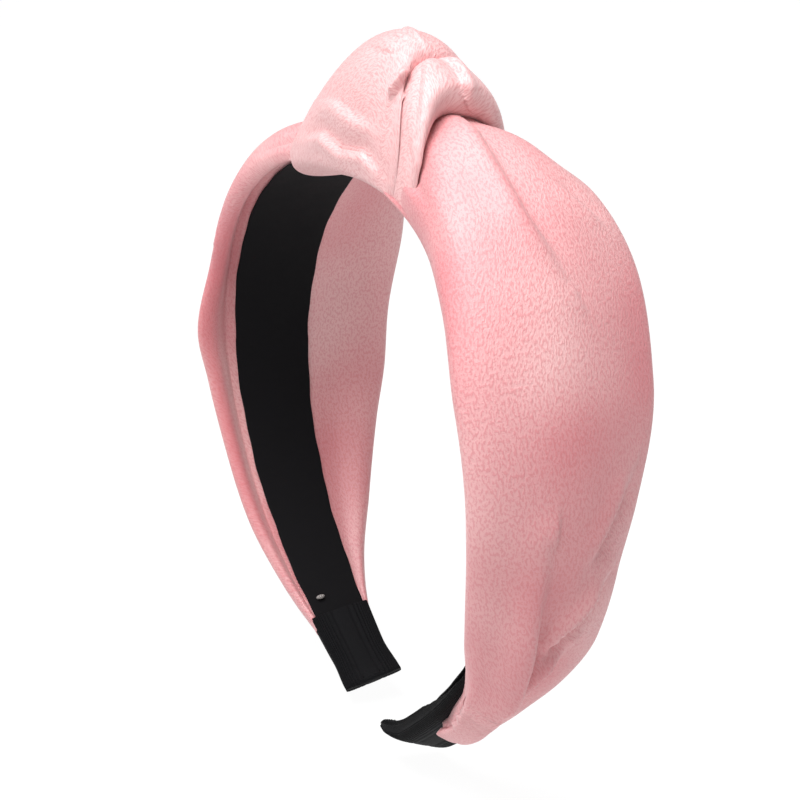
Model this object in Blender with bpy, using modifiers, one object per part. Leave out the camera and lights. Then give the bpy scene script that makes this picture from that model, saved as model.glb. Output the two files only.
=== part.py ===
"""Knotted satin headband: a moulded hoop dressed in two satin sleeves, with a knot at the crown.

Units are metres, +Z is up and the wearer's forehead is towards -Y. The origin is the middle of
the lining's inner face at the crown, where the head carries the band. The left leg is at -X.

Every piece is drawn in band coordinates: s runs along the band from the crown, negative down
the left leg, y runs across it from front to rear, and h stands outward from the lining's face.
"""

import math

import bmesh
import bpy
import numpy as np
from mathutils import Vector

# Driving dimensions: the hoop
INNER_WIDTH = 0.1424
INNER_HEIGHT = 0.1418
CROWN_BEND, SHOULDER_BEND, LEG_BEND = 2.00, 3.57, -3.05  # radians of heading, see walk_the_hoop
TIP_TWIST = math.radians(22.5)  # the moulding winds: right tip's front edge in, left tip's out
TIP_SHIFT = 0.0037  # right tip forward, left tip back
BAND_WIDTH_CROWN = 0.0264
BAND_WIDTH_TIP = 0.0112
TAPER_POWER = 1.5

# Driving dimensions: the layers, from the head outward
LINING_THICKNESS = 0.0008
SATIN_THICKNESS = 0.0007
CORE_THICKNESS = 0.0017
FIT_GAP = 0.0003
CORE_INSET = 0.0006  # the core is this much narrower than the lining, each side
TAPE_WIDTH = 0.0040

# Driving dimensions: the end caps and their tacks
CAP_LENGTH = 0.026
RIBBON_THICKNESS = 0.0008
CAP_CORNER = 0.0010
TACK_RADIUS = 0.0006
TACK_HALF_LENGTH = 0.0012
TACK_FROM_EDGE = 0.0035

# Driving dimensions: the knot
KNOT_HALF_LENGTH = 0.0345
KNOT_SPLIT = 0.0130  # where the big turn ends and the tucked turn begins
KNOT_CLEARANCE = 0.0010
KNOT_UNDERSIDE = 0.0034  # thickness of the turns under the band
WRAP_TOP, WRAP_FRONT, WRAP_REAR = 0.0270, 0.0035, 0.0060  # beyond the tunnel's walls
TUCK_TOP, TUCK_FRONT, TUCK_REAR = 0.0190, 0.0020, 0.0070
WRAP_TOP_SET_BACK = 0.0110  # how far the big turn's left end draws in over the top
KNOT_POWER, TUNNEL_POWER = 2.4, 6.0  # superellipse powers of the outlines: rounder, squarer

# Driving dimensions: the sleeves
LEG_GAP = 0.0045  # free band between the knot and each sleeve, where the band flexes
SLEEVE_SLIT = 0.0052  # between the turned-in edges, under the lining
# Share of the band's half-length, front and rear reach past the band's edge, outer crest
# height over the core, and the rims' height over the lining's face.
SLEEVE_STATIONS = (
    (0.15, 0.0040, 0.0130, 0.0070, 0.0020),
    (0.30, 0.0075, 0.0200, 0.0065, 0.0010),
    (0.48, 0.0095, 0.0205, 0.0055, 0.0005),
    (0.62, 0.0100, 0.0150, 0.0060, 0.0010),
    (0.76, 0.0070, 0.0070, 0.0055, 0.0015),
    (0.90, 0.0016, 0.0016, 0.0014, 0.0020),
)
CREST_POWER = 2.6

# How finely the facets follow the curves
BAND_STEP = 0.0066
WALK_STEPS = 800
SLEEVE_SIDE_POINTS = 9
KNOT_TURN_POINTS = 36
KNOT_SECTION_POINTS = 16
CORNER_POINTS = 3

COLLECTION = "knotted_headband"
PINK = (0.83, 0.40, 0.42, 1.0)
DEEP_PINK = (0.80, 0.36, 0.38, 1.0)
BLACK = (0.012, 0.012, 0.013, 1.0)
SMOKE = (0.05, 0.05, 0.055, 1.0)
TAPE_WHITE = (0.78, 0.77, 0.72, 1.0)
THREAD = (0.55, 0.52, 0.50, 1.0)


def walk_the_hoop():
    """Positions and outward normals down one leg, at even steps of arc length.

    The heading turns by CROWN_BEND u + SHOULDER_BEND u^2 + LEG_BEND u^3, where u is the share
    of the half-length. Its integral is the shape, which is then stretched to the two inner sizes.
    """
    u = np.linspace(0.0, 1.0, WALK_STEPS)
    heading = CROWN_BEND * u + SHOULDER_BEND * u**2 + LEG_BEND * u**3
    middle = (heading[1:] + heading[:-1]) / 2
    x = np.concatenate([[0.0], np.cumsum(np.cos(middle))])
    z = -np.concatenate([[0.0], np.cumsum(np.sin(middle))])
    x *= INNER_WIDTH / 2 / x.max()
    z *= INNER_HEIGHT / -z[-1]
    length = np.concatenate([[0.0], np.cumsum(np.hypot(np.diff(x), np.diff(z)))])
    even = np.linspace(0.0, length[-1], WALK_STEPS)
    x, z = np.interp(even, length, x), np.interp(even, length, z)
    along_x, along_z = np.gradient(x, even), np.gradient(z, even)
    size = np.hypot(along_x, along_z)
    return even, x, z, -along_z / size, along_x / size


WALK = walk_the_hoop()
HALF_LENGTH = float(WALK[0][-1])
CORE_FACE = LINING_THICKNESS + FIT_GAP + SATIN_THICKNESS + FIT_GAP
CORE_BACK = CORE_FACE + CORE_THICKNESS
SLEEVE_START = KNOT_HALF_LENGTH + LEG_GAP
SLEEVE_END = HALF_LENGTH - CAP_LENGTH - FIT_GAP
HINGE_S = KNOT_HALF_LENGTH + LEG_GAP / 2


def place(s, y, h):
    """World points of band coordinates, given as arrays that broadcast together."""
    s, y, h = np.broadcast_arrays(*(np.asarray(a, float) for a in (s, y, h)))
    side = np.where(s < 0, -1.0, 1.0)
    reach = np.abs(s)
    x, z, out_x, out_z = (np.interp(reach, WALK[0], column) for column in WALK[1:])
    beyond = np.maximum(reach - HALF_LENGTH, 0.0)
    x = x + beyond * WALK[4][-1]
    z = z - beyond * WALK[3][-1]
    grown = (reach / HALF_LENGTH) ** 2
    twist = side * TIP_TWIST * grown
    out = h * np.cos(twist) + y * np.sin(twist)
    across = y * np.cos(twist) - h * np.sin(twist) - side * TIP_SHIFT * grown
    return np.stack([side * (x + out * out_x), across, z + out * out_z], axis=-1)


def band_half_width(s):
    share = np.minimum(np.abs(s) / HALF_LENGTH, 1.0)
    return (BAND_WIDTH_CROWN + (BAND_WIDTH_TIP - BAND_WIDTH_CROWN) * share**TAPER_POWER) / 2


def stretch(start, end):
    """Evenly spaced stations along the band, no more than BAND_STEP apart."""
    return np.linspace(start, end, math.ceil(abs(end - start) / BAND_STEP) + 1)


def material(name, colour, roughness, metallic=0.0):
    made = bpy.data.materials.new(name)
    made.use_nodes = True
    shader = made.node_tree.nodes["Principled BSDF"]
    shader.inputs["Base Color"].default_value = colour
    shader.inputs["Roughness"].default_value = roughness
    shader.inputs["Metallic"].default_value = metallic
    made.diffuse_color = colour
    return made


def grid_faces(rows, columns, wrap_rows=False, wrap_columns=False):
    """Quads over a grid of points that is stored row by row."""
    return [
        (
            i * columns + j,
            i * columns + (j + 1) % columns,
            (i + 1) % rows * columns + (j + 1) % columns,
            (i + 1) % rows * columns + j,
        )
        for i in range(rows if wrap_rows else rows - 1)
        for j in range(columns if wrap_columns else columns - 1)
    ]


def add_piece(name, points, faces, finish, hinge=None, closed=True):
    """A named object from world points. On a hinge, its origin is the hinge's empty."""
    origin = np.array(hinge.location) if hinge else np.zeros(3)
    mesh = bpy.data.meshes.new(name)
    mesh.from_pydata((points.reshape(-1, 3) - origin).tolist(), [], faces)
    if closed:
        shell = bmesh.new()
        shell.from_mesh(mesh)
        bmesh.ops.recalc_face_normals(shell, faces=shell.faces)
        shell.to_mesh(mesh)
        shell.free()
    mesh.shade_smooth()
    mesh.set_sharp_from_angle(angle=math.radians(40))
    mesh.materials.append(finish)
    piece = bpy.data.objects.new(name, mesh)
    piece.parent = hinge
    parts.objects.link(piece)
    return piece


def thicken(piece, thickness, offset):
    wall = piece.modifiers.new("wall", "SOLIDIFY")
    wall.thickness = thickness
    wall.offset = offset
    wall.use_even_offset = True
    return piece


def soften(piece, radius):
    edge = piece.modifiers.new("edge", "BEVEL")
    edge.width = radius
    edge.segments = 1
    edge.limit_method = "ANGLE"
    edge.angle_limit = math.radians(50)
    return piece


def add_strip(name, end, half_width, face, thickness, finish):
    """A flat strip from tip to tip whose inner face stands at the height face."""
    s = stretch(-end, end)
    across = np.array([1.0, -1.0])
    points = place(s[:, None], half_width(s)[:, None] * across, face)
    strip = add_piece(name, points, grid_faces(len(s), 2), finish, closed=False)
    return thicken(strip, thickness, 1.0)


def add_hinge(name, side):
    """The empty that a leg hangs on, on the core's middle at the knot's edge."""
    empty = bpy.data.objects.new(name, None)
    empty.location = Vector(place(side * HINGE_S, 0.0, CORE_FACE + CORE_THICKNESS / 2))
    empty.empty_display_size = 0.01
    parts.objects.link(empty)
    return empty


def sleeve_section(s):
    """One open ring round the core, from one turned-in edge to the other, as (y, h).

    The outer layer is a flat superellipse between the rims. The inner layer leaves the lining
    at the band's edges and eases out to the rims with a cosine.
    """
    share = abs(s) / HALF_LENGTH
    shares, *columns = zip(*SLEEVE_STATIONS)
    front, rear, crest, rim = (np.interp(share, shares, column) for column in columns)
    edge = float(band_half_width(s))
    under = LINING_THICKNESS + FIT_GAP
    top = CORE_BACK + FIT_GAP + SATIN_THICKNESS + crest
    turn = np.linspace(0.0, math.pi, 2 * SLEEVE_SIDE_POINTS + 1)
    reach = np.where(np.cos(turn) < 0, edge + front, edge + rear)
    outer_y = reach * np.sign(np.cos(turn)) * np.abs(np.cos(turn)) ** (2 / CREST_POWER)
    outer_h = rim + (top - rim) * np.sin(turn) ** (2 / CREST_POWER)
    inward = np.linspace(1.0, 0.0, SLEEVE_SIDE_POINTS // 2 + 1)[1:]
    ease = (1 - np.cos(math.pi * inward)) / 2
    inner_h = under + (rim - under) * ease

    def inner_side(direction, past_edge):
        y = direction * (edge + past_edge * inward)
        return np.append(y, direction * SLEEVE_SLIT / 2), np.append(inner_h, under)

    front_y, front_h = inner_side(-1.0, front)
    rear_y, rear_h = inner_side(1.0, rear)
    y = np.concatenate([rear_y[::-1], outer_y, front_y])
    h = np.concatenate([rear_h[::-1], outer_h, front_h])
    return y, h


def add_sleeve(name, side, hinge):
    """A satin tube whose long edges are turned in under the lining, either side of the tape."""
    s = stretch(side * SLEEVE_START, side * SLEEVE_END)
    rings = np.array([place(station, *sleeve_section(station)) for station in s])
    faces = grid_faces(rings.shape[0], rings.shape[1])
    if side < 0:
        faces = [face[::-1] for face in faces]
    sleeve = add_piece(name, rings, faces, pink_satin, hinge, closed=False)
    return thicken(sleeve, SATIN_THICKNESS, -1.0)


def squared_ring(half_width, low, high, radius):
    """A rectangle with round corners, as (y, h), anticlockwise."""
    quarter = np.linspace(0.0, math.pi / 2, CORNER_POINTS)
    centres = ((1, 1), (-1, 1), (-1, -1), (1, -1))
    y, h = [], []
    for quadrant, (right, up) in enumerate(centres):
        angle = quarter + quadrant * math.pi / 2
        y.append(right * (half_width - radius) + radius * np.cos(angle))
        h.append((high - radius if up > 0 else low + radius) + radius * np.sin(angle))
    return np.concatenate(y), np.concatenate(h)


def add_cap(name, side, hinge):
    """A ribbon sock over the lining and core, open towards the sleeve, with a flat end."""
    mouth = HALF_LENGTH - CAP_LENGTH
    inner_end = HALF_LENGTH + FIT_GAP
    outer_end = inner_end + RIBBON_THICKNESS
    rings = []
    for s in stretch(inner_end, mouth):
        edge = float(band_half_width(s)) + FIT_GAP
        section = squared_ring(edge, -FIT_GAP, CORE_BACK + FIT_GAP, CAP_CORNER / 2)
        rings.append(place(side * s, *section))
    for s in stretch(mouth, outer_end):
        edge = float(band_half_width(s)) + FIT_GAP + RIBBON_THICKNESS
        low, high = -FIT_GAP - RIBBON_THICKNESS, CORE_BACK + FIT_GAP + RIBBON_THICKNESS
        rings.append(place(side * s, *squared_ring(edge, low, high, CAP_CORNER)))
    rings = np.array(rings)
    rows, columns = rings.shape[:2]
    faces = grid_faces(rows, columns, wrap_columns=True)
    faces.append(tuple(range(columns)))
    faces.append(tuple(range((rows - 1) * columns, rows * columns)))
    return add_piece(name, rings, faces, black_ribbon, hinge)


def add_tack(name, side, hinge):
    """A short bar of thread on the lining, just above the cap's mouth."""
    s = side * (SLEEVE_END - TACK_RADIUS)
    front = -(float(band_half_width(s)) - TACK_FROM_EDGE)
    low = -FIT_GAP - TACK_RADIUS
    bpy.ops.mesh.primitive_uv_sphere_add(segments=10, ring_count=6, radius=TACK_RADIUS)
    tack = bpy.context.object
    tack.name = tack.data.name = name
    for vertex in tack.data.vertices:
        vertex.co.z *= TACK_HALF_LENGTH / TACK_RADIUS
    here, ahead = (Vector(place(s, front + step, low)) for step in (0.0, 0.001))
    tack.rotation_euler = (ahead - here).to_track_quat("Z", "Y").to_euler()
    tack.location = here - hinge.location
    tack.parent = hinge
    tack.data.shade_smooth()
    tack.data.materials.append(tack_thread)
    for collection in tuple(tack.users_collection):
        collection.objects.unlink(tack)
    parts.objects.link(tack)
    return tack


def superellipse(turn, sides, power):
    """Points (y, h) of a superellipse with its own half-axis on each side of the middle."""
    front, rear, top, bottom = sides
    across, up = np.cos(turn), np.sin(turn)
    half_y = np.where(across < 0, -front, rear)
    half_h = np.where(up < 0, -bottom, top)
    return half_y * np.abs(across) ** (2 / power), half_h * np.abs(up) ** (2 / power)


def add_turn(name, ends, top_set_back, beyond, finish):
    """One turn of the knot: a closed ring round the band, thick on top and thin underneath.

    Rows go round the band and columns round the cloth's own section, which reaches from the
    tunnel's wall to the outer outline and from one end of the turn to the other.
    """
    middle = CORE_BACK / 2
    wall_y = BAND_WIDTH_CROWN / 2 + KNOT_CLEARANCE
    wall_h = middle + KNOT_CLEARANCE
    top, front, rear = beyond
    turn = np.linspace(0.0, 2 * math.pi, KNOT_TURN_POINTS, endpoint=False)[:, None]
    section = np.linspace(0.0, 2 * math.pi, KNOT_SECTION_POINTS, endpoint=False)[None, :]
    inner = superellipse(turn, (wall_y, wall_y, wall_h, wall_h), TUNNEL_POWER)
    outer_sides = (wall_y + front, wall_y + rear, wall_h + top, wall_h + KNOT_UNDERSIDE)
    outer = superellipse(turn, outer_sides, KNOT_POWER)
    lifted = np.maximum(np.sin(turn), 0.0)
    start = ends[0] + top_set_back * lifted
    round_s, round_out = superellipse(section, (1.0, 1.0, 1.0, 1.0), KNOT_POWER)
    s = (start + ends[1]) / 2 + (ends[1] - start) / 2 * round_s
    y, h = (near + (far - near) * (1 + round_out) / 2 for near, far in zip(inner, outer))
    points = place(s, y, middle + h)
    rows, columns = points.shape[:2]
    faces = grid_faces(rows, columns, wrap_rows=True, wrap_columns=True)
    return add_piece(name, points, faces, finish)


for leftover in tuple(bpy.data.objects):
    bpy.data.objects.remove(leftover, do_unlink=True)
parts = bpy.data.collections.new(COLLECTION)
bpy.context.scene.collection.children.link(parts)

pink_satin = material("pink_satin", PINK, 0.42)
knot_satin = material("knot_satin", DEEP_PINK, 0.38)
black_lining = material("black_lining", BLACK, 0.85)
black_ribbon = material("black_ribbon", BLACK, 0.7)
smoke_plastic = material("smoke_plastic", SMOKE, 0.35)
clear_tape = material("clear_tape", TAPE_WHITE, 0.5)
tack_thread = material("tack_thread", THREAD, 0.6)

# The hoop and what is fixed along it
core = add_strip(
    "band_core",
    HALF_LENGTH,
    lambda s: band_half_width(s) - CORE_INSET,
    CORE_FACE,
    CORE_THICKNESS,
    smoke_plastic,
)
soften(core, CORE_THICKNESS / 4)
add_strip(
    "lining_tape",
    SLEEVE_END,
    lambda s: np.full_like(s, TAPE_WIDTH / 2),
    LINING_THICKNESS + FIT_GAP,
    SATIN_THICKNESS,
    clear_tape,
)
add_strip("lining_strip", HALF_LENGTH, band_half_width, 0.0, LINING_THICKNESS, black_lining)

# The knot: a big turn on the left and a narrower tucked turn on the right
add_turn(
    "knot_wrap",
    (-KNOT_HALF_LENGTH, KNOT_SPLIT),
    WRAP_TOP_SET_BACK,
    (WRAP_TOP, WRAP_FRONT, WRAP_REAR),
    knot_satin,
)
add_turn(
    "knot_tuck",
    (KNOT_SPLIT + FIT_GAP, KNOT_HALF_LENGTH),
    0.0,
    (TUCK_TOP, TUCK_FRONT, TUCK_REAR),
    knot_satin,
)

# The two legs, each on its hinge
for side, leg in ((-1, "left"), (1, "right")):
    leg_hinge = add_hinge(f"{leg}_flex", side)
    add_sleeve(f"sleeve_{leg}", side, leg_hinge)
    add_cap(f"end_cap_{leg}", side, leg_hinge)
    add_tack(f"cap_tack_{leg}", side, leg_hinge)
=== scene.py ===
"""Knotted satin headband: the looks of every piece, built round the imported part.

Lengths are metres, and the tables of stations are millimetres. The wearer's forehead is towards
-Y and the left leg is at -X. s runs along the band from the crown, negative down the left leg,
y runs across it from front to rear, and h stands outward from the lining's inner face.
"""

import math

import bmesh
import bpy
import numpy as np
from mathutils import Matrix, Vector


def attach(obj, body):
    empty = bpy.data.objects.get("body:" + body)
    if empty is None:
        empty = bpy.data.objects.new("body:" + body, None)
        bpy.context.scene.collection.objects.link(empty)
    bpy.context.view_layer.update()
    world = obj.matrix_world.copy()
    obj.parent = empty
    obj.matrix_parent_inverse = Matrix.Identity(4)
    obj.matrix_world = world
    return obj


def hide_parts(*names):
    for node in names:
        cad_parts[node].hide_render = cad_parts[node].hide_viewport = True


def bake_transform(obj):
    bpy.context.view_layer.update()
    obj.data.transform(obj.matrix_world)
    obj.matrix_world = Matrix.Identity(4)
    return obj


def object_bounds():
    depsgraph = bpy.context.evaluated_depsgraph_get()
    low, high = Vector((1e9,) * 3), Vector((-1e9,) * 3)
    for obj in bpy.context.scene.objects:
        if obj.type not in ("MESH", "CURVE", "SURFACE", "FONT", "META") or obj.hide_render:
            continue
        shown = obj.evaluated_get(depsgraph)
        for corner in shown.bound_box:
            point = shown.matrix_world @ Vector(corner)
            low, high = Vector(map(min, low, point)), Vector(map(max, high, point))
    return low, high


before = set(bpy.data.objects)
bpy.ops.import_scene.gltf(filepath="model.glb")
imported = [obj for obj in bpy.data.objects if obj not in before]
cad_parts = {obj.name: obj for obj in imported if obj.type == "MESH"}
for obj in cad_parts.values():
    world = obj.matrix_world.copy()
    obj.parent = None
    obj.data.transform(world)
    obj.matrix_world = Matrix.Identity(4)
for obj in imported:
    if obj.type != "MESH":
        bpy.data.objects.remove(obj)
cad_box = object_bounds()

# The moulded hoop
# A thin, springy strip of smoke-grey plastic, about 26 mm wide at the crown and 11 mm at the
# tips, with eased edges. It is drawn as two halves that meet inside the knot, one for each leg.
MM = 0.001
INNER_WIDTH, INNER_HEIGHT = 0.1424, 0.1418
CROWN_BEND, SHOULDER_BEND, LEG_BEND = 2.00, 3.57, -3.05
TIP_TWIST = math.radians(22.5)
TIP_SHIFT = 0.0037
TIP_CURL, CURL_LENGTH = 0.0028, 0.012  # each tip bends in over its last stretch
WALK_STEPS = 800
BAND_WIDTH_CROWN, BAND_WIDTH_TIP, TAPER_POWER = 0.0264, 0.0112, 1.5
CORE_FACE, CORE_BACK = 0.0021, 0.0038
CORE_INSET = 0.0006  # the hoop is this much narrower than its lining, each side
HOOP_ROWS, HOOP_COLUMNS, HOOP_SQUARENESS = 140, 28, 6.0
AT_CROWN = 1e-6  # just off the middle, so that a leg's first row knows its own side
FLEX_START, FLEX_END = 0.029, 0.062  # where the band starts and ends its bend at a leg's hinge


def walk_the_hoop():
    """Points and outward normals down one leg, at even steps of arc length.

    The heading turns by CROWN_BEND u + SHOULDER_BEND u^2 + LEG_BEND u^3, where u is the share of
    the half-length. Its running sum is the line, stretched to the two inner sizes.
    """
    u = np.linspace(0.0, 1.0, WALK_STEPS)
    heading = CROWN_BEND * u + SHOULDER_BEND * u**2 + LEG_BEND * u**3
    middle = (heading[1:] + heading[:-1]) / 2
    x = np.concatenate([[0.0], np.cumsum(np.cos(middle))])
    z = -np.concatenate([[0.0], np.cumsum(np.sin(middle))])
    x *= INNER_WIDTH / 2 / x.max()
    z *= INNER_HEIGHT / -z[-1]
    length = np.concatenate([[0.0], np.cumsum(np.hypot(np.diff(x), np.diff(z)))])
    even = np.linspace(0.0, length[-1], WALK_STEPS)
    x, z = np.interp(even, length, x), np.interp(even, length, z)
    along_x, along_z = np.gradient(x, even), np.gradient(z, even)
    size = np.hypot(along_x, along_z)
    return even, x, z, -along_z / size, along_x / size


HOOP = walk_the_hoop()
HALF_LENGTH = float(HOOP[0][-1])


def place(s, y, h):
    """World points of band coordinates.

    A point stands off the hoop's line by h along its normal and y across it, both turned by the
    moulding's twist, which grows with the square of the share of the half-length.
    """
    s, y, h = np.broadcast_arrays(*(np.asarray(a, float) for a in (s, y, h)))
    side = np.where(s < 0, -1.0, 1.0)
    reach = np.abs(s)
    x, z, out_x, out_z = (np.interp(reach, HOOP[0], column) for column in HOOP[1:])
    h = h - TIP_CURL * (np.maximum(reach - HALF_LENGTH + CURL_LENGTH, 0.0) / CURL_LENGTH) ** 2
    beyond = np.maximum(reach - HALF_LENGTH, 0.0)
    x = x + beyond * HOOP[4][-1]
    z = z - beyond * HOOP[3][-1]
    grown = (reach / HALF_LENGTH) ** 2
    twist = side * TIP_TWIST * grown
    out = h * np.cos(twist) + y * np.sin(twist)
    across = y * np.cos(twist) - h * np.sin(twist) - side * TIP_SHIFT * grown
    return np.stack([side * (x + out * out_x), across, z + out * out_z], axis=-1)


def band_half_width(s):
    """Half the band's width: from the crown's to the tip's with a power of the share."""
    share = np.minimum(np.abs(s) / HALF_LENGTH, 1.0)
    return (BAND_WIDTH_CROWN + (BAND_WIDTH_TIP - BAND_WIDTH_CROWN) * share**TAPER_POWER) / 2


def superellipse(turn, front, rear, bottom, top, power):
    """Points (y, h) of |y / reach|^power + |h / reach|^power = 1, with a reach for each side."""
    across, up = np.cos(turn), np.sin(turn)
    half_y = np.where(across < 0, -front, rear)
    half_h = np.where(up < 0, -bottom, top)
    return half_y * np.abs(across) ** (2 / power), half_h * np.abs(up) ** (2 / power)


def cloth_lengths(points):
    """Distances travelled over a grid of points, along its columns and along its rows."""
    down = np.linalg.norm(np.diff(points, axis=0), axis=2).mean(axis=1)
    over = np.linalg.norm(np.diff(points, axis=1), axis=2)
    u = np.concatenate([[0.0], np.cumsum(down)])[:, None] * np.ones(points.shape[1])
    v = np.concatenate([np.zeros((len(points), 1)), np.cumsum(over, axis=1)], axis=1)
    return np.stack([u, v], axis=-1)


def add_surface(name, points, finish, body, ring=False, torus=False, capped=False):
    """A named piece from a grid of points, riding on a body of the frame when body is given.

    The grid's columns are joined into a ring if ring is true, and its rows too if torus is.
    capped closes a ring's first and last rows with a fan round their middles. Its UV map holds
    distances over the cloth in metres.
    """
    rows, columns = points.shape[:2]
    across = ring or torus
    down, over = (rows if torus else rows - 1), (columns if across else columns - 1)
    i, j = np.meshgrid(np.arange(down), np.arange(over), indexing="ij")
    corners = np.stack([(i, j), (i, j + 1), (i + 1, j + 1), (i + 1, j)], axis=0)
    index = (corners[:, 0] % rows) * columns + corners[:, 1] % columns
    faces = index.reshape(4, -1).T
    around = np.pad(points, ((0, rows - down < 1), (0, columns - over < 1), (0, 0)), "wrap")
    lengths = cloth_lengths(around)[corners[:, 0], corners[:, 1]].reshape(4, -1, 2)
    lengths = lengths.transpose(1, 0, 2).reshape(-1, 2)
    vertices, faces = points.reshape(-1, 3), faces.tolist()
    if capped:
        ends = np.stack([points[0].mean(axis=0), points[-1].mean(axis=0)])
        for end, first in ((0, 0), (1, (rows - 1) * columns)):
            k = np.arange(columns)
            fan = np.stack([first + k, first + (k + 1) % columns], axis=1)
            hub = np.full((columns, 1), len(vertices) + end)
            faces += np.hstack([fan, hub]).tolist()
            lengths = np.vstack([lengths, np.zeros((3 * columns, 2))])
        vertices = np.vstack([vertices, ends])
    mesh = bpy.data.meshes.new(name)
    mesh.from_pydata(vertices.tolist(), [], faces)
    cloth = mesh.uv_layers.new(name="cloth")
    cloth.data.foreach_set("uv", lengths.astype(np.float32).ravel())
    if torus or capped:
        shell = bmesh.new()
        shell.from_mesh(mesh)
        bmesh.ops.recalc_face_normals(shell, faces=shell.faces)
        shell.to_mesh(mesh)
        shell.free()
    mesh.shade_smooth()
    mesh.materials.append(finish)
    piece = bpy.data.objects.new(name, mesh)
    bpy.context.scene.collection.objects.link(piece)
    if body:
        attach(piece, body)
    return piece


def bend_with_leg(piece, leg):
    """Bakes the piece's placing into its mesh. The hinge's two points on the leg are worked out but not
    used, so the piece does not bend.
    """
    side = -1.0 if leg == "left" else 1.0
    start, end = (place(side * s, 0.0, CORE_FACE).tolist() for s in (FLEX_START, FLEX_END))
    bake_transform(piece)


def bar_section(half_width, low, high, easing, count):
    """A flat bar's outline as (y, h): a superellipse so square that only its edges are eased."""
    turn = np.linspace(0.0, 2 * math.pi, count, endpoint=False)
    y, h = superellipse(turn, 1.0, 1.0, 1.0, 1.0, easing)
    middle, half = (low + high) / 2, (high - low) / 2
    return half_width[:, None] * y, middle + half * h


class Value:
    """A socket in a finish. Arithmetic on it adds one Math node for each operation."""

    def __init__(self, finish, socket):
        self.finish, self.socket = finish, socket

    def _math(self, operation, first, second):
        return self.finish.node("Math", {"operation": operation}, {0: first, 1: second})

    def __add__(self, other):
        return self._math("ADD", self, other)

    def __sub__(self, other):
        return self._math("SUBTRACT", self, other)

    def __rsub__(self, other):
        return self._math("SUBTRACT", other, self)

    def __mul__(self, other):
        return self._math("MULTIPLY", self, other)

    __radd__ = __add__
    __rmul__ = __mul__


class Finish:
    """A node material for one of the headband's finishes."""

    def __init__(self, name):
        self.material = bpy.data.materials.new(name)
        self.material.use_nodes = True
        self.tree = self.material.node_tree
        self.shader = self.tree.nodes["Principled BSDF"]

    def node(self, kind, settings, sockets, output=0):
        """One node of a kind, such as Math: its settings first, then its sockets' values or links."""
        made = self.tree.nodes.new("ShaderNode" + kind)
        for name, setting in settings.items():
            if name == "stops":
                made.color_ramp.elements[0].position, made.color_ramp.elements[1].position = setting
            else:
                setattr(made, name, setting)
        for name, value in sockets.items():
            self.join(made.inputs[name], value)
        return Value(self, made.outputs[output])

    def join(self, socket, value):
        """Links a value made by nodes, or sets a plain one."""
        if isinstance(value, Value):
            self.tree.links.new(value.socket, socket)
        else:
            socket.default_value = value

    def blend_colours(self, share, first, second):
        """A colour between two, by a share from 0 to 1."""
        return self.node("Mix", {"data_type": "RGBA"}, {0: share, 6: first, 7: second}, output=2)

    def cloth_point(self, along, across, turn=0.0):
        """The point on the piece's cloth, with each direction scaled and the whole turned."""
        laid = self.node("UVMap", {"uv_map": "cloth"}, {})
        spin = {"Vector": laid, "Rotation": (0.0, 0.0, turn), "Scale": (along, across, 1.0)}
        return self.node("Mapping", {"vector_type": "POINT"}, spin)

    def noise(self, point, scale, detail=2.0, roughness=0.5):
        """Soft cloudy noise, from 0 to 1."""
        sockets = {"Vector": point, "Scale": scale, "Detail": detail, "Roughness": roughness}
        return self.node("TexNoise", {}, sockets)

    def cells(self, point, scale):
        """Distance to the nearest of many scattered points: a pebbled surface."""
        sockets = {"Vector": point, "Scale": scale, "Smoothness": 0.6}
        return self.node("TexVoronoi", {"feature": "SMOOTH_F1"}, sockets)

    def raise_surface(self, height, distance):
        """Bump of a height from 0 to 1 over a real distance."""
        sockets = {"Height": height, "Distance": distance, "Strength": 1.0}
        self.join(self.shader.inputs["Normal"], self.node("Bump", {}, sockets))

    def set(self, **sockets):
        """Values or links of the shader's own sockets, with _ for a space in a name."""
        for name, value in sockets.items():
            self.join(self.shader.inputs[name.replace("_", " ")], value)


smoke_plastic = Finish("smoke_plastic")
flow = smoke_plastic.noise(smoke_plastic.cloth_point(40.0, 220.0), 1.0, 3.0)
smoke_plastic.set(
    Base_Color=smoke_plastic.blend_colours(flow, (0.035, 0.035, 0.04, 1.0), (0.06, 0.06, 0.065, 1.0)),
    Roughness=0.28 + flow * 0.2,
)
smoke_plastic.raise_surface(flow, 0.00008)

for side, leg in ((-1.0, "left"), (1.0, "right")):
    s = np.linspace(0.0, HALF_LENGTH, HOOP_ROWS)[::int(side)]
    half_width = band_half_width(s) - CORE_INSET
    y, h = bar_section(half_width, CORE_FACE, CORE_BACK, HOOP_SQUARENESS, HOOP_COLUMNS)
    bar = add_surface(
        f"hoop_{leg}",
        place(side * np.maximum(s, AT_CROWN)[:, None], y, h),
        smoke_plastic.material,
        None,
        ring=True,
        capped=True,
    )
    bend_with_leg(bar, leg)
    if leg == "left":
        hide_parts("band_core")

# The double-sided tape
# A clear 4 mm tape down the middle of the hoop's inner face. It holds the lining on, and it lies
# between the sleeves' turned-in edges, so only its ends could ever be seen.
TAPE_HALF_WIDTH = 0.0020
TAPE_LOW, TAPE_HIGH = 0.0011, 0.0018
TAPE_END = 0.1797
TAPE_ROWS, TAPE_COLUMNS, TAPE_SQUARENESS = 90, 16, 8.0

clear_tape = Finish("clear_tape")
bubbles = clear_tape.cells(clear_tape.cloth_point(1.0, 1.0), 900.0)
clear_tape.set(
    Base_Color=clear_tape.blend_colours(bubbles, (0.78, 0.77, 0.70, 1.0), (0.66, 0.64, 0.56, 1.0)),
    Roughness=0.35 + bubbles * 0.25,
)
clear_tape.raise_surface(bubbles, 0.00005)

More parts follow.
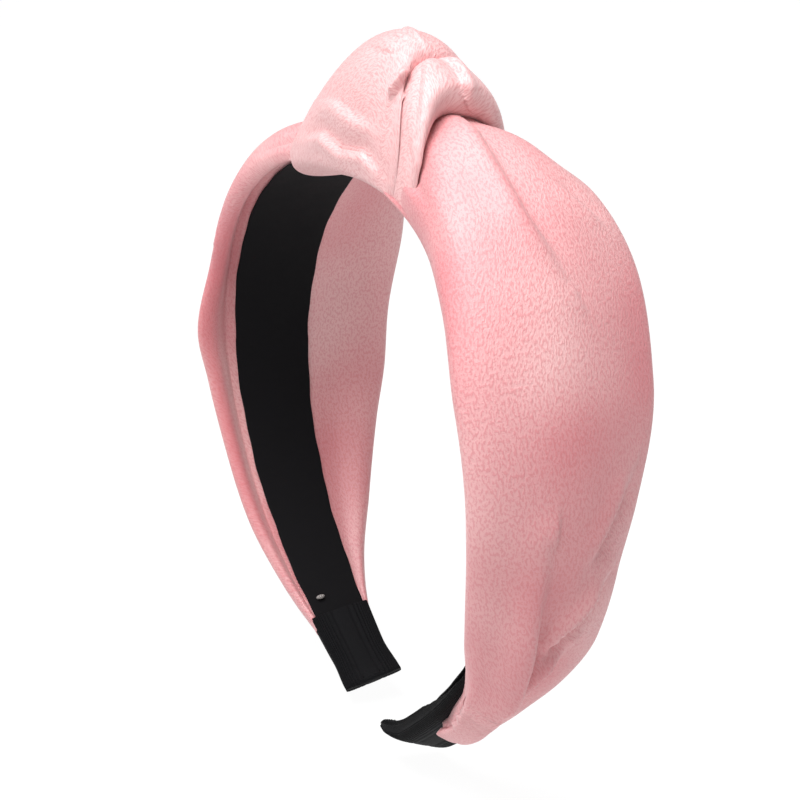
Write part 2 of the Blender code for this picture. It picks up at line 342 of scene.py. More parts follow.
for side, leg in ((-1.0, "left"), (1.0, "right")):
    s = np.linspace(0.0, TAPE_END, TAPE_ROWS)
    half_width = np.full_like(s, TAPE_HALF_WIDTH)
    y, h = bar_section(half_width, TAPE_LOW, TAPE_HIGH, TAPE_SQUARENESS, TAPE_COLUMNS)
    tape = add_surface(
        f"tape_{leg}",
        place(side * np.maximum(s, AT_CROWN)[:, None], y, h),
        clear_tape.material,
        None,
        ring=True,
        capped=True,
    )
    bend_with_leg(tape, leg)
    if leg == "left":
        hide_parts("lining_tape")

# The lining
# A black, close-woven strip cut to the hoop's width and pressed on from tip to tip. It lies flat
# on the head, with a slightly soft cut edge and the faint print of what lies under it.
LINING_HIGH = 0.0008
LINING_ROWS, LINING_COLUMNS, LINING_SQUARENESS = 320, 40, 5.0
PRINT_DEPTH, PRINT_HALF_WIDTH = 0.00016, 0.0026  # the tape's slit shows through

black_lining = Finish("black_lining")
threads = black_lining.cloth_point(2600.0, 2600.0)
warp = black_lining.node("TexWave", {"bands_direction": "X"}, {"Vector": threads, "Scale": 0.5})
weft = black_lining.node("TexWave", {"bands_direction": "Y"}, {"Vector": threads, "Scale": 0.5})
weave = (warp + weft) * 0.5
mottle = black_lining.noise(black_lining.cloth_point(1.0, 1.0), 160.0, 4.0)
black_lining.set(
    Base_Color=black_lining.blend_colours(
        mottle, (0.0028, 0.0026, 0.0032, 1.0), (0.0052, 0.0048, 0.006, 1.0)
    ),
    Roughness=0.62 + mottle * 0.2,
    Specular_IOR_Level=0.1,
    Sheen_Weight=0.01,
    Sheen_Roughness=0.5,
)
black_lining.raise_surface(weave * 0.35 + mottle, 0.00012)

for side, leg in ((-1.0, "left"), (1.0, "right")):
    s = np.linspace(0.0, HALF_LENGTH, LINING_ROWS)
    wander = 0.00012 * np.sin(s / 0.0043) + 0.00008 * np.sin(s / 0.0017 + 1.0)
    half_width = band_half_width(s) + wander
    y, h = bar_section(half_width, 0.0, LINING_HIGH, LINING_SQUARENESS, LINING_COLUMNS)
    print_through = PRINT_DEPTH * np.exp(-((y / PRINT_HALF_WIDTH) ** 2))
    print_through = print_through * (0.6 + 0.4 * np.sin(s / 0.012))[:, None]
    strip = add_surface(
        f"lining_{leg}",
        place(side * np.maximum(s, AT_CROWN)[:, None], y, h - print_through),
        black_lining.material,
        None,
        ring=True,
        capped=True,
    )
    bend_with_leg(strip, leg)
    if leg == "left":
        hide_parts("lining_strip")

# The satin sleeves
# Two tubes of pink hammered satin, wide and full over the hoop's outer face. Their long edges are
# turned in under the lining, and both ends are gathered: one in the knot, one at the cap.
SATIN_WALL = 0.00045
BAND_MIDDLE = 0.0019
SLIT_HALF = 0.0026
UNDER_LINING = 0.00125
SLEEVE_TOP = 0.0175
SLEEVE_BOTTOM = {"left": 0.1865, "right": 0.1785}  # the right one ends in a short tongue
SLEEVE_ROWS, SLEEVE_COLUMNS = 270, 160
# The deepest pink is painted shade, laid into the pebbles' pits and onto the sleeves' undersides. The
# blush pink is painted light: a paler middle for the same satin in the knot, where the top light falls.
PALE_PINK, KNOT_LIT_PINK = (0.78, 0.44, 0.44, 1.0), (0.80, 0.48, 0.48, 1.0)
MID_PINK, PAINTED_SHADE_PINK = (0.64, 0.22, 0.24, 1.0), (0.56, 0.075, 0.095, 1.0)
GATHER_HEIGHT, GATHER_MIDDLE, GATHER_SPREAD = 0.00035, 22, 16  # the last two in mm down the leg

# Share of the half-length; then front and rear reach past the band's edge, the low and the high
# side of the front roll, the same of the rear roll, the crest, and the two valleys beside the
# lining, all heights over the lining's inner face.
LEFT_SLEEVE = (
    (0.085, 0.6, 1.6, 0.8, 7.0, 1.0, 7.5, 13.0, 0.3, 0.3),
    (0.130, 1.0, 2.4, 0.6, 7.4, 1.0, 8.5, 11.5, 0.5, 0.5),
    (0.165, 2.0, 5.0, 1.0, 7.5, 2.0, 9.0, 11.5, 1.5, 1.5),
    (0.215, 4.4, 13.2, 0.0, 7.0, 4.0, 12.0, 12.5, 3.0, 2.5),
    (0.290, 6.6, 21.3, -1.2, 5.8, 4.0, 12.0, 13.0, 3.8, 3.0),
    (0.400, 7.5, 25.8, -2.4, 3.0, 2.0, 9.5, 12.5, 4.0, 3.0),
    (0.495, 10.2, 23.8, -2.2, 2.0, 1.0, 8.0, 12.0, 4.0, 3.0),
    (0.560, 8.2, 22.5, -2.4, 2.5, 0.5, 7.5, 11.0, 3.8, 3.0),
    (0.640, 6.8, 18.0, -2.4, 2.4, 0.5, 7.0, 10.5, 3.5, 3.0),
    (0.740, 5.9, 11.4, -1.6, 3.0, 1.0, 7.0, 9.5, 3.2, 2.5),
    (0.820, 3.8, 5.0, -0.6, 3.8, 1.0, 6.5, 8.2, 2.4, 1.4),
    (0.870, 2.0, 2.0, 0.3, 4.8, 0.8, 5.8, 6.8, 1.2, 0.5),
    (0.900, 0.7, 0.7, 0.5, 4.9, 0.6, 5.3, 6.2, 0.0, 0.0),
)
RIGHT_SLEEVE = (
    (0.085, 1.2, 4.6, -0.3, 8.0, 2.0, 10.5, 19.6, 0.3, 0.3),
    (0.115, 1.8, 5.4, -0.4, 8.6, 3.0, 12.5, 19.6, 0.4, 1.0),
    (0.150, 2.0, 8.0, -0.5, 9.6, 4.6, 14.0, 18.8, 0.8, 2.0),
    (0.200, 3.0, 14.4, -0.5, 10.4, 5.0, 12.5, 17.2, 1.8, 3.0),
    (0.290, 7.0, 18.6, 0.5, 9.5, 1.0, 7.0, 14.5, 3.5, 3.0),
    (0.400, 10.0, 17.2, -0.8, 8.0, -2.0, 3.5, 12.2, 3.0, 3.0),
    (0.520, 9.2, 12.2, -1.0, 7.5, -2.0, 3.2, 11.2, 2.5, 3.0),
    (0.600, 7.6, 9.6, -1.0, 7.0, -1.0, 4.0, 11.0, 2.5, 3.0),
    (0.680, 4.6, 9.6, 0.0, 7.2, 0.0, 5.0, 11.0, 2.0, 3.0),
    (0.740, 0.6, 6.8, 3.0, 8.0, 0.8, 5.8, 10.4, 1.0, 2.0),
    (0.790, -4.2, 2.6, 5.2, 8.2, 0.6, 5.6, 9.6, 0.5, 1.0),
    (0.842, -6.4, 1.2, 5.4, 7.6, 0.4, 5.0, 8.2, 0.0, 0.4),
    (0.858, -5.4, 0.6, 5.2, 6.6, 0.4, 5.0, 7.2, 0.0, 0.0),
    (0.900, -5.0, 0.2, 4.4, 5.2, 0.6, 4.8, 5.4, 0.0, 0.0),
)
FRONT_LEAVES = {"left": (0.98, 0.99), "right": (0.70, 0.78)}  # where the front slides over the tip

# The knot's hem over each sleeve: where it crosses the front, top, rear and underside along the
# band, and how far the cloth below it may stand from the band's middle there.
KNOT_HEM = {
    "left": (-34.0, -22.0, -28.5, -35.0, 14.1, 8.4, 15.4, 4.4),
    "right": (31.0, 20.8, 18.8, 27.0, 13.5, 18.4, 17.4, 3.2),
}


def between_stations(share, stations):
    """Each column of a table at the shares, on curves that pass every station without a bump.

    Each stretch is a cubic. Its slope at a station is the harmonic mean of the straight slopes
    on both sides, or level where they turn.
    """
    table = np.array(stations, float)
    at, values = table[:, 0], table[:, 1:]
    gap = np.diff(at)[:, None]
    slope = np.diff(values, axis=0) / gap
    before, after = slope[:-1], slope[1:]
    same = before * after > 0
    level = np.where(same, 2 * before * after / np.where(same, before + after, 1.0), 0.0)
    tangent = np.vstack([slope[:1], level, slope[-1:]])
    i = np.clip(np.searchsorted(at, share) - 1, 0, len(at) - 2)
    t = np.clip((share - at[i]) / gap[i, 0], 0.0, 1.0)[:, None]
    leaving = values[i] * (1 + 2 * t) * (1 - t) ** 2 + tangent[i] * gap[i] * t * (1 - t) ** 2
    arriving = values[i + 1] * (3 - 2 * t) * t**2 - tangent[i + 1] * gap[i] * (1 - t) * t**2
    return (leaving + arriving).T


def bell_weights(t, count, closed=False):
    """Weights that carry a curve smoothly past control points, for positions t among them.

    Each point of the curve is the average of the controls near it, weighted by a cubic bell that
    is two controls wide on each side.
    """
    gap = t[:, None] - np.arange(count)
    if closed:
        gap = (gap + count / 2) % count - count / 2
    gap = np.abs(gap)
    bell = np.where(gap < 1, 4 - 6 * gap**2 + 3 * gap**3, np.clip(2 - gap, 0, None) ** 3)
    return bell / bell.sum(axis=1, keepdims=True)


def step(low, high, value):
    """0 below low, 1 above high, and 3t^2 - 2t^3 between them."""
    t = np.clip((value - low) / (high - low), 0.0, 1.0)
    return t * t * (3 - 2 * t)


def draw_in(s, y, h, hem):
    """Draws a sleeve in where it runs under the knot's hem, and lets it swell out below.

    Each point is held within an ellipse about the band's middle. The ellipse is the hem's at the
    hem, and opens with the distance beyond it. Low at the front the sleeve comes out sooner, over
    the hem's corner.
    """
    front, top, rear, under, reach_front, reach_top, reach_rear, reach_under = np.array(hem) * MM
    across = y / np.where(y < 0, reach_front, reach_rear)
    up = (h - BAND_MIDDLE) / np.where(h < BAND_MIDDLE, reach_under, reach_top)
    front = front - np.sign(front) * 0.008 * (1 - step(0.2, 0.5, up))
    size = np.maximum(np.hypot(across, up), 1e-6)
    side_share = (across / size) ** 2
    along = np.where(y < 0, front, rear) * side_share
    along = along + np.where(h < BAND_MIDDLE, under, top) * (1 - side_share)
    beyond = np.maximum(s - np.abs(along), 0.0) / MM
    most = 0.97 + 0.035 * beyond + 0.0035 * beyond**2
    held = (size**-6 + most**-6) ** (-1 / 6) / size
    held = np.where(h < UNDER_LINING + 0.0003, 1.0, held)
    return y * held, BAND_MIDDLE + (h - BAND_MIDDLE) * held


def surface_normals(points):
    """The normal at each point of a grid, from the slopes along its rows and columns."""
    normal = np.cross(np.gradient(points, axis=0), np.gradient(points, axis=1))
    return normal / np.maximum(np.linalg.norm(normal, axis=2, keepdims=True), 1e-12)


def lay_fold(points, outward, line, width, lift, sink=0.0, overhang=0.0, ends=(0.0, 0.0)):
    """Raises a soft ridge along a line of band coordinates, and sinks the cloth to its right.

    With d the distance to the line over the width, the height is lift e^-d^2 on the left, and the
    same three times steeper on the right. The sink is a bell about 0.6 widths to the right, steep
    towards the line and broad beyond it. overhang leans the ridge over the sunk side. All of it
    fades at the line's two ends, except for the share that ends keeps.
    """
    corners = place(*(np.array(line, float).T * MM))
    best = np.full(points.shape[:2], np.inf)
    side, along = np.zeros_like(best), np.zeros_like(best)
    sideways = np.zeros_like(points)
    for i in range(len(corners) - 1):
        run = corners[i + 1] - corners[i]
        t = np.clip((points - corners[i]) @ run / (run @ run), 0.0, 1.0)
        away = points - (corners[i] + t[..., None] * run)
        distance = np.linalg.norm(away, axis=2)
        rightward = np.cross(run / np.linalg.norm(run), outward)
        nearer = distance < best
        best = np.where(nearer, distance, best)
        side = np.where(nearer, np.sum(away * rightward, axis=2), side)
        along = np.where(nearer, (i + t) / (len(corners) - 1), along)
        sideways = np.where(nearer[..., None], rightward, sideways)
    fade = ends[0] + (1 - ends[0]) * step(0.0, 0.3, along)
    fade = fade * (ends[1] + (1 - ends[1]) * step(0.0, 0.3, 1 - along))
    signed = np.where(side < 0, -best, best) / (width * MM)
    ridge = np.exp(-((signed * np.where(signed > 0, 3.0, 1.0)) ** 2))
    hollow = np.exp(-((signed - 0.6) ** 2) * np.where(signed > 0.6, 1.5, 6.0))
    height = (fade * (lift * ridge - sink * hollow))[..., None] * MM
    return points + height * outward + (fade * overhang * ridge)[..., None] * MM * sideways


def sleeve_cloth(stations, front_leaves, bottom):
    """Band coordinates (s, y, h) of a sleeve's cloth, before its folds.

    Rows run down the leg. Each row is one bell-weighted curve past nineteen controls: from the
    slit under the lining, out through a valley, round the front roll, over the crest, round the
    rear roll, and back under the lining. Between the two shares of front_leaves, the front's
    turned-in edge slides off the band's edge and comes to lie on its outer face.
    """
    s = np.linspace(SLEEVE_TOP, bottom, SLEEVE_ROWS)
    share = s / HALF_LENGTH
    columns = between_stations(share, stations) * MM
    front, rear, front_low, front_high, rear_low, rear_high, crest = columns[:7]
    front_valley, rear_valley = columns[7:]
    edge = band_half_width(s)
    under = np.full_like(s, UNDER_LINING)

    def half(reach, low, high, valley, valley_at, roll_at):
        y = (
            np.full_like(s, SLIT_HALF),
            0.6 * edge,
            edge - 0.0005,
            edge + valley_at * reach,
            edge + roll_at * reach,
            edge + 1.15 * reach,
            edge + 0.78 * reach,
            edge + 0.25 * reach,
            0.6 * edge,
        )
        h = (
            under,
            under,
            under,
            under + valley,
            low,
            (low + high) / 2,
            high,
            high + 0.5 * (crest - high),
            high + 0.88 * (crest - high),
        )
        return np.array(y), np.array(h)

    front_y, front_h = half(front, front_low, front_high, front_valley, 0.22, 0.60)
    rear_y, rear_h = half(rear, rear_low, rear_high, rear_valley, 0.35, 0.82)
    slid = step(*front_leaves, share)
    tucked_y = edge + front - np.array([2.6, 1.9, 1.2, 0.6])[:, None] * MM
    front_y[:4] += slid * (tucked_y - front_y[:4])
    front_h[:4] += slid * (front_low - front_h[:4])
    y = np.concatenate([-front_y, [0.0 * s], rear_y[::-1]])
    h = np.concatenate([front_h, [crest], rear_h[::-1]])
    weights = bell_weights(np.linspace(0, 18, SLEEVE_COLUMNS), 19)
    return np.repeat(s[:, None], SLEEVE_COLUMNS, axis=1), (weights @ y).T, (weights @ h).T


pink_satin = Finish("pink_satin")


def lay_satin(finish, pale, middle, shade_pink, grain_turn, slub):
    """Nodes of hammered satin: a pebbled crepe face with a soft, broad sheen.

    Two sizes of pebble and a faint run of threads raise the surface. Clouds of two pinks wander
    over it. The pits between the pebbles and the sleeves' undersides are painted a deeper pink,
    as painted shade.
    """
    point = finish.cloth_point(1.0, 1.0, grain_turn)
    long_point = finish.cloth_point(0.7, 1.2, grain_turn)
    pebbles = finish.noise(long_point, 1500.0, 3.0, 0.6)
    fine = finish.noise(long_point, 3600.0, 2.0, 0.5)
    slubs = finish.noise(finish.cloth_point(150.0, 1300.0, grain_turn), 1.0, 2.0)
    clouds = finish.node("ValToRGB", {"stops": (0.36, 0.64)}, {0: finish.noise(point, 17.0, 2.0)})
    cloud_tone_and_painted_shade = finish.blend_colours(clouds, middle, pale)
    # Painted shade: where the sleeve's underside weight is high, the colour is darkened towards the
    # deepest pink.
    under = finish.node("Attribute", {"attribute_name": "underside"}, {}, "Fac")
    cloud_tone_and_painted_shade = finish.blend_colours(under * 0.9, cloud_tone_and_painted_shade, shade_pink)
    # Painted shade: the pits between the pebbles are darkened towards the deepest pink.
    painted_pit_shade = finish.node("ValToRGB", {"stops": (0.52, 0.26)}, {0: pebbles})
    finish.set(
        Base_Color=finish.blend_colours(painted_pit_shade * 0.35, cloud_tone_and_painted_shade, shade_pink),
        Roughness=0.5 + slubs * 0.12,
        IOR=1.6,
        Specular_IOR_Level=0.8,
        Coat_Weight=0.15,
        Coat_Roughness=0.45,
        Sheen_Weight=0.25,
        Sheen_Roughness=0.4,
        Sheen_Tint=(1.0, 0.93, 0.93, 1.0),
    )
    finish.raise_surface(pebbles * 1.1 + fine * 0.25 + slubs * slub, 0.00022)


lay_satin(pink_satin, PALE_PINK, MID_PINK, PAINTED_SHADE_PINK, 0.0, 0.06)

# Each fold: its line in band coordinates, width, lift, sink to its right, and overhang.
SLEEVE_FOLDS = {
    "left": (
        (((-34, 4, 9), (-48, 2, 12), (-64, -4, 13), (-80, -8, 13)), 4.0, 0.7, 0.5, 0.3),
        (((-70, -18, 4), (-78, -21, 0), (-84, -22, -1)), 2.2, 0.5, 0.4, 0.2),
        (((-110, -12, 9), (-130, -8, 10), (-150, -4, 9)), 3.5, 0.8, 0.6, 0.4),
    ),
    "right": (
        (
            ((62, 9, 13), (48, 4.5, 16), (38, 3.5, 18), (28, 3.6, 20), (14, 3.6, 20)),
            6.0, 1.5, 2.0, 0.4,
        ),
        (((50, 26, 10), (45, 20, 13), (40, 15, 15)), 3.0, 0.6, 0.5, 0.2),
        (
            ((196, 4, 5), (176, 3, 7.5), (162, 1.8, 9.4), (153, 1.8, 10), (146, 2.2, 10.4),
             (138, 1.4, 10.6), (126, -0.3, 10.8), (112, -1.1, 11)),
            6.0, 1.6, 4.2, 2.4,
        ),
        (((138, 3, 10.5), (133, 5.5, 10), (128, 11, 8), (122, 16, 6)), 3.6, 1.8, 2.2, 1.0),
        (((156, 0.5, 10), (150, 2.5, 10.2), (144, 4.5, 9.8), (138, 9, 8.5)), 3.8, 0.6, 3.4, 1.0),
        (((118, 8, 9), (110, 14, 6), (100, 20, 3)), 4.0, 1.2, 0.9, 0.3),
    ),
}
for side, leg, stations in ((-1.0, "left", LEFT_SLEEVE), (1.0, "right", RIGHT_SLEEVE)):
    s, y, h = sleeve_cloth(stations, FRONT_LEAVES[leg], SLEEVE_BOTTOM[leg])
    y, h = draw_in(s, y, h, KNOT_HEM[leg])
    column = np.linspace(0.0, 1.0, SLEEVE_COLUMNS)
    gathers = np.sin(58 * column + 3 * np.sin(17 * column)) * step(0.16, 0.3, column)
    gathers = gathers * step(0.16, 0.3, 1 - column)
    gathers = gathers * np.exp(-(((s / MM - GATHER_MIDDLE) / GATHER_SPREAD) ** 2))
    h = h + GATHER_HEIGHT * gathers
    points = place(side * s, y, h)
    outward = surface_normals(points) * -side
    for line, width, lift, sink, overhang in SLEEVE_FOLDS[leg]:
        points = lay_fold(points, outward, line, width, lift, sink, overhang, (0.2, 0.2))
    sleeve = add_surface(
        f"satin_{leg}",
        points if side > 0 else points[:, ::-1],
        pink_satin.material,
        None,
    )
    # Painted shade: a weight of 1 where the cloth lies 2.5 mm inside the lining's face and 0 from 1.5 mm
    # outside it, which darkens the undersides.
    underside = 1.0 - step(-2.5, 1.5, (h if side > 0 else h[:, ::-1]) / MM)
    underside_shade = sleeve.data.attributes.new("underside", "FLOAT", "POINT")
    underside_shade.data.foreach_set("value", underside.ravel().astype(np.float32))
    wall = sleeve.modifiers.new("wall", "SOLIDIFY")
    wall.thickness, wall.offset = SATIN_WALL, -1.0
    bend_with_leg(sleeve, leg)
    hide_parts(f"sleeve_{leg}")

# The knot's big turn
# The satin is turned once round the crown. The turn is a deep, rounded lobe with a soft hem over
# the left sleeve, and its right side sinks under the second turn.
KNOT_COLUMNS = 340
BIG_SEEN_LINES, BIG_ROWS = 7.5, 200
HIDDEN_ROWS = 24  # over the lines that lie out of sight, under the band

# Where each line of the cloth crosses the front, top, rear and underside, along the band; then
# its reach from the band's middle at the front, top, rear and underside; then its squareness.
BIG_TURN = (
    (-27.5, -20.5, -26.0, -32.0, 14.2, 9.0, 14.8, 3.2, 2.6),
    (-29.3, -21.6, -28.0, -34.8, 14.6, 6.9, 16.0, 4.8, 2.2),
    (-24.0, -19.8, -25.0, -31.0, 14.8, 15.7, 18.0, 5.6, 2.0),
    (-16.4, -12.3, -16.0, -20.0, 15.0, 23.4, 19.2, 5.8, 2.0),
    (-6.1, -5.3, -6.0, -8.0, 15.4, 28.9, 19.6, 5.8, 2.0),
    (5.0, 3.2, 4.0, 4.0, 15.4, 31.1, 19.2, 4.6, 2.0),
    (18.0, 9.2, 9.0, 13.0, 14.8, 30.4, 18.4, 3.8, 2.0),
    (26.8, 12.4, 11.0, 20.0, 13.9, 25.0, 17.0, 3.4, 2.1),
    (19.0, 8.0, 9.0, 13.0, 13.6, 10.0, 14.8, 2.3, 5.0),
    (-5.0, -5.0, -5.0, -5.0, 14.0, 5.5, 14.4, 2.5, 5.0),
    (-20.0, -14.0, -20.0, -22.0, 14.0, 7.0, 14.4, 2.5, 5.0),
    (-26.0, -19.5, -25.0, -31.0, 14.0, 8.0, 14.4, 2.4, 3.4),
)


def turn_of_cloth(lines, seen_lines, seen_rows):
    """Band coordinates (s, y, h) of one turn of the knot, closed both ways.

    Columns go round the band on superellipses and rows run over the cloth from line to line,
    bell-weighted: close together over the seen lines, and sparse over the hidden ones. A line's
    place along the band eases between its four crossings with the squares of the sine and cosine
    of the turn. The underside is squarer than the rest.
    """
    seen = np.linspace(0, seen_lines, seen_rows, endpoint=False)
    hidden = np.linspace(seen_lines, len(lines), HIDDEN_ROWS, endpoint=False)
    positions = np.concatenate([seen, hidden])
    weights = bell_weights(positions, len(lines), closed=True)
    table = weights @ np.array(lines, float)
    at = table[:, :, None]
    turn = np.linspace(0.0, 2 * math.pi, KNOT_COLUMNS, endpoint=False)[None, :]
    across, up = np.cos(turn), np.sin(turn)
    s = (
        at[:, 0] * np.minimum(across, 0) ** 2
        + at[:, 1] * np.maximum(up, 0) ** 2
        + at[:, 2] * np.maximum(across, 0) ** 2
        + at[:, 3] * np.minimum(up, 0) ** 2
    )
    power = np.where(up < 0, 3.0, at[:, 8])
    y, h = superellipse(turn, at[:, 4], at[:, 6], at[:, 7], at[:, 5], power)
    return s * MM, y * MM, BAND_MIDDLE + h * MM


# Painted light: the knot's satin is the sleeves' satin with a paler middle pink, which stands in for the
# top light falling on the knot.
knot_satin = Finish("knot_satin")
lay_satin(knot_satin, PALE_PINK, KNOT_LIT_PINK, PAINTED_SHADE_PINK, 0.6, 0.22)

# Each fold: its line in band coordinates, width, lift, sink to its right, and overhang.
BIG_FOLDS = (
    (
        ((14.6, -11.9, 20.2), (15.0, -10.6, 22.3), (14.9, -9.1, 24.0), (13.9, -7.5, 25.8),
         (12.6, -5.3, 27.5)),
        1.15, 0.1, 2.6, 0.0,
    ),
    (((3.0, -4.0, 31.4), (5.4, -3.0, 30.8), (8.6, -1.2, 29.9)), 1.2, 0.35, 0.45, 0.1),
    (((1.0, -1.0, 32.2), (4.6, -0.6, 31.8), (9.2, -0.4, 30.2)), 1.5, 0.3, 0.9, 0.1),
    (((-2.0, -8.0, 28.0), (4.0, -7.0, 28.4), (8.5, -5.0, 27.4)), 2.6, 0.4, 0.35, 0.1),
    (
        ((20, -14.4, 5), (10, -15, 7.5), (0, -15.0, 5.5), (-10, -14.8, 8), (-22, -14, 6)),
        3.4, 1.2, 1.1, 0.1,
    ),
    (((14, -13.6, 15), (4, -13.8, 14), (-6, -13.4, 16), (-16, -12, 15)), 3.8, 0.7, 0.7, 0.1),
)
s, y, h = turn_of_cloth(BIG_TURN, BIG_SEEN_LINES, BIG_ROWS)
points = place(s, y, h)
outward = surface_normals(points)
for line, width, lift, sink, overhang in BIG_FOLDS:
    points = lay_fold(points, outward, line, width, lift, sink, overhang, (0.1, 0.1))
big_turn = add_surface(
    "knot_big_turn", points, knot_satin.material, "crown", torus=True
)
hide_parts("knot_wrap")

# The knot's second turn
# A folded band of the same satin, which comes down from the notch at the top and closes over the
# right sleeve with an open, rolled edge.
SECOND_SEEN_LINES, SECOND_ROWS = 6, 150
SECOND_TURN = (
    (15.0, 5.0, 6.0, 9.0, 13.8, 18.0, 16.0, 3.0, 2.4),
    (23.6, 10.4, 9.0, 15.0, 14.0, 25.4, 17.8, 3.2, 2.1),
    (26.2, 13.2, 11.5, 18.0, 14.1, 28.0, 18.9, 3.4, 2.0),
    (29.2, 16.6, 14.3, 21.0, 14.2, 26.6, 20.0, 3.6, 2.0),
    (31.2, 21.4, 17.0, 24.0, 14.1, 25.4, 19.7, 3.9, 2.0),
    (33.2, 21.6, 19.2, 27.0, 13.6, 18.4, 18.4, 3.4, 2.0),
    (30.0, 19.0, 17.5, 25.0, 13.4, 15.0, 16.8, 2.5, 2.2),
    (20.0, 12.0, 13.0, 18.0, 13.4, 13.6, 15.6, 2.3, 3.0),
    (13.0, 5.0, 7.0, 9.0, 13.4, 13.0, 15.0, 2.3, 4.0),
)

SECOND_FOLDS = (
    (
        ((10.5, 3.0, 30), (14, 3.4, 29), (18, 2.8, 27.6), (21, 2.4, 25), (22.5, 3.4, 22)),
        3.0, 0.9, 1.0, 0.3,
    ),
    (((12, -2, 29), (16, -5, 27), (20, -8, 23.5), (23, -10, 20)), 2.6, 0.4, 0.5, 0.1),
    (((24, -12, 16), (27, -12.4, 13), (29, -12.6, 10)), 2.4, 0.4, 0.5, 0.1),
)
s, y, h = turn_of_cloth(SECOND_TURN, SECOND_SEEN_LINES, SECOND_ROWS)
points = place(s, y, h)
outward = surface_normals(points)
for line, width, lift, sink, overhang in SECOND_FOLDS:
    points = lay_fold(points, outward, line, width, lift, sink, overhang, (0.2, 0.4))
second_turn = add_surface(
    "knot_second_turn", points, knot_satin.material, "crown", torus=True
)
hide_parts("knot_tuck")

# The ribbon end caps
# Ribbed black ribbon, folded over each tip like a sock and glued. Its ribs run along the band,
# and it is pressed flat towards a straight end.
CAP_LENGTH, CAP_PAST_TIP = 0.022, 0.0011
# How much further up its outer face a cap reaches, at the rear and at the front.
MOUTH_RISE = {"left": (0.002, 0.002), "right": (0.009, 0.036)}
RIBBON, RIBBON_EASE = 0.0006, 0.0003
RIB_COUNT, RIB_HEIGHT, POINTS_A_RIB = 46, 0.00022, 8
CAP_ROWS, CAP_SQUARENESS = 72, 4.5
TIP_PRESSED, END_PINCHED, TIP_FLARED = 0.35, 0.3, 0.16  # thinner, pinched shut, and wider

black_ribbon = Finish("black_ribbon")
ribbon_point = black_ribbon.cloth_point(1.0, 1.0)
picks = black_ribbon.node("TexWave", {"bands_direction": "X"}, {"Vector": ribbon_point, "Scale": 1100.0})
fuzz = black_ribbon.noise(ribbon_point, 1800.0, 3.0)
black_ribbon.set(
    Base_Color=black_ribbon.blend_colours(fuzz, (0.003, 0.003, 0.0036, 1), (0.008, 0.008, 0.0095, 1)),
    Roughness=0.55 + fuzz * 0.2,
    Specular_IOR_Level=0.1,
    Sheen_Weight=0.01,
    Sheen_Roughness=0.4,
)
black_ribbon.raise_surface(picks * 0.5 + fuzz * 0.5, 0.0001)

for side, leg in ((-1.0, "left"), (1.0, "right")):
    turn = np.linspace(0.0, 2 * math.pi, RIB_COUNT * POINTS_A_RIB, endpoint=False)
    along = np.linspace(0.0, 1.0, CAP_ROWS)[:, None]
    y, h = superellipse(turn, 1.0, 1.0, 1.0, 1.0, CAP_SQUARENESS)
    rear_rise, front_rise = MOUTH_RISE[leg]
    rise = rear_rise + (front_rise - rear_rise) * step(-0.7, 0.3, -y)
    mouth = HALF_LENGTH - CAP_LENGTH - rise * step(-1.0, 1.0, h)
    s = mouth + (HALF_LENGTH + CAP_PAST_TIP - mouth) * along
    flat = step(HALF_LENGTH - 0.010, HALF_LENGTH + 0.001, s)
    pressed = 1.0 - TIP_PRESSED * flat - END_PINCHED * step(0.97, 1.0, along)
    flared = 1.0 + TIP_FLARED * flat
    ribs = RIB_HEIGHT * np.abs(np.sin(turn * RIB_COUNT / 2))
    half_width = (band_half_width(s) + RIBBON + RIBBON_EASE) * flared
    middle = CORE_BACK / 2
    half_height = (CORE_BACK / 2 + RIBBON_EASE + RIBBON) * pressed
    points = place(side * s, y * (half_width + ribs), middle + h * (half_height + ribs))
    cap = add_surface(
        f"ribbon_cap_{leg}",
        points,
        black_ribbon.material,
        f"leg_{leg}",
        ring=True,
        capped=True,
    )
    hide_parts(f"end_cap_{leg}")

# The tacks
# A short bar of grey thread just above each cap's mouth, sewn through the lining. It is the
# frame's own solid, with a twisted thread's finish.
pale_thread = Finish("pale_thread")
strands = pale_thread.node(
    "TexWave",
    {"bands_direction": "DIAGONAL"},
    {"Vector": pale_thread.node("TexCoord", {}, {}, output=3), "Scale": 900.0},
)
pale_thread.set(
    Base_Color=pale_thread.blend_colours(strands, (0.20, 0.18, 0.17, 1), (0.38, 0.35, 0.34, 1)),
    Roughness=0.55 + strands * 0.15,
)
pale_thread.raise_surface(strands, 0.0001)
for leg in ("left", "right"):
    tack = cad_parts[f"cap_tack_{leg}"]
    tack.data.materials.clear()
    tack.data.materials.append(pale_thread.material)

# The room
# A plain white sweep under a broad, soft overhead light, with a second softbox to the left and
# paler light from all round.
FLOOR_DROP, FLOOR_REACH = 0.0008, 3
floor_height = cad_box[0].z - FLOOR_DROP
floor_mesh = bpy.data.meshes.new("floor")
corners = [(x * FLOOR_REACH, y * FLOOR_REACH) for x, y in ((-1, -1), (1, -1), (1, 1), (-1, 1))]
floor_mesh.from_pydata([(x, y, floor_height) for x, y in corners], [], [(0, 1, 2, 3)])
floor = bpy.data.objects.new("floor", floor_mesh)
bpy.context.scene.collection.objects.link(floor)
white_floor = Finish("white_floor")
grain = white_floor.noise(white_floor.node("TexCoord", {}, {}, output=3), 300.0, 4.0)
white_floor.set(
    Base_Color=white_floor.blend_colours(grain, (0.06, 0.06, 0.06, 1), (0.08, 0.08, 0.08, 1)),
    Roughness=0.8,
    Emission_Color=(1.0, 1.0, 1.0, 1.0),
    Emission_Strength=0.95,
)
floor_mesh.materials.append(white_floor.material)


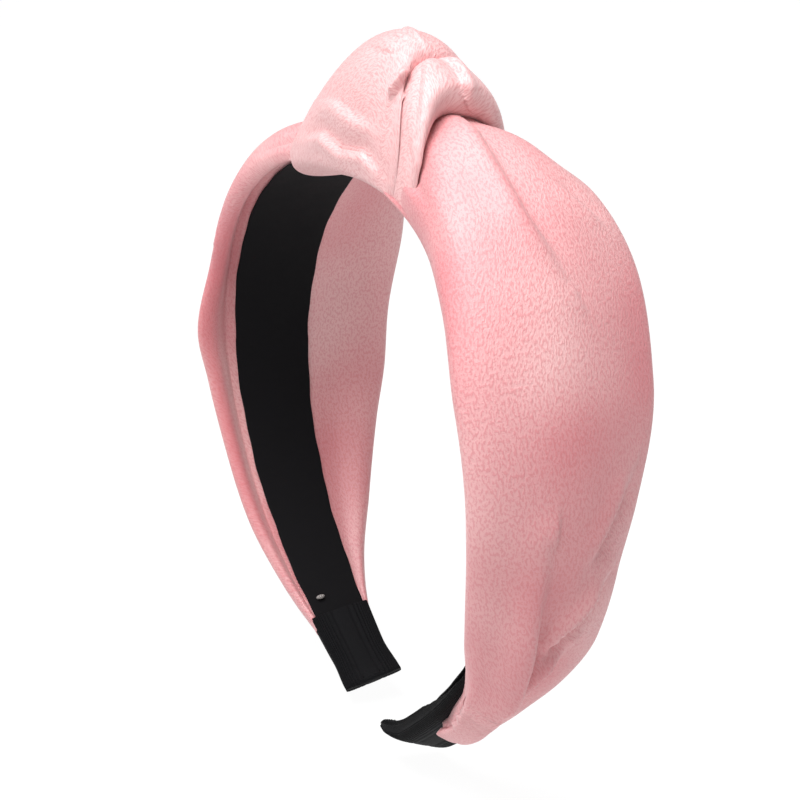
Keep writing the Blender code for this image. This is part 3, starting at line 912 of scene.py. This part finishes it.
def add_softbox(name, place_at, size, power):
    """A square area light that faces the band."""
    lamp = bpy.data.lights.new(name, "AREA")
    lamp.shape, lamp.size, lamp.energy = "SQUARE", size, power
    box = bpy.data.objects.new(name, lamp)
    back = np.array(place_at, float) - np.array(LIGHT_AIM, float)
    back /= np.linalg.norm(back)
    right = np.cross([0.1, 1.0, 0.0], back)
    right /= np.linalg.norm(right)
    turned = np.eye(4)
    turned[:3, :4] = np.stack([right, np.cross(back, right), back, place_at], axis=1)
    box.matrix_world = Matrix(turned.tolist())
    bpy.context.scene.collection.objects.link(box)


LIGHT_AIM = (0.0, 0.0, -0.05)
add_softbox("top_softbox", (0.16, -0.24, 0.72), 0.62, 11.0)
add_softbox("left_softbox", (-0.2, -0.8, 0.35), 0.6, 1.6)

world = bpy.data.worlds.new("studio")
bpy.context.scene.world = world
world.use_nodes = True
air = world.node_tree
sky = air.nodes["Background"]
direction = air.nodes.new("ShaderNodeTexCoord").outputs["Generated"]
height = air.nodes.new("ShaderNodeSeparateXYZ")
air.links.new(direction, height.inputs["Vector"])
glow = air.nodes.new("ShaderNodeValToRGB")
air.links.new(height.outputs["Z"], glow.inputs["Fac"])
glow.color_ramp.elements[0].color = (0.07, 0.07, 0.075, 1.0)
glow.color_ramp.elements[1].color = (0.4, 0.4, 0.4, 1.0)
glow.color_ramp.elements[1].position = 0.75
seen = air.nodes.new("ShaderNodeLightPath").outputs["Is Camera Ray"]
picture = air.nodes.new("ShaderNodeMix")
picture.data_type = "RGBA"
air.links.new(seen, picture.inputs[0])
air.links.new(glow.outputs["Color"], picture.inputs[6])
picture.inputs[7].default_value = (1.0, 1.0, 1.0, 1.0)
air.links.new(picture.outputs[2], sky.inputs["Color"])
sky.inputs["Strength"].default_value = 1.0
bpy.context.scene.view_settings.view_transform = "Standard"

# The camera
# A long lens from the wearer's front right, a little above the crown's height.
AZIMUTH, ELEVATION, ROLL = (math.radians(angle) for angle in (61.3, 17.9, 0.7))
AIM = np.array([0.0005, 0.0013, -0.0594])
DISTANCE = 0.600
FOCAL_LENGTH, SENSOR_WIDTH = 109.7, 36.0  # mm
level_reach = math.cos(ELEVATION)
back = np.array(
    [math.sin(AZIMUTH) * level_reach, -math.cos(AZIMUTH) * level_reach, math.sin(ELEVATION)]
)
level = np.array([math.cos(AZIMUTH), math.sin(AZIMUTH), 0.0])
upright = np.cross(back, level)
right = math.cos(ROLL) * level + math.sin(ROLL) * upright
up = math.cos(ROLL) * upright - math.sin(ROLL) * level
stance = np.eye(4)
stance[:3, :4] = np.stack([right, up, back, AIM + DISTANCE * back], axis=1)
lens = bpy.data.cameras.new("camera")
lens.lens, lens.sensor_width = FOCAL_LENGTH, SENSOR_WIDTH
camera = bpy.data.objects.new("camera", lens)
camera.matrix_world = Matrix(stance.tolist())
bpy.context.scene.collection.objects.link(camera)
bpy.context.scene.camera = camera
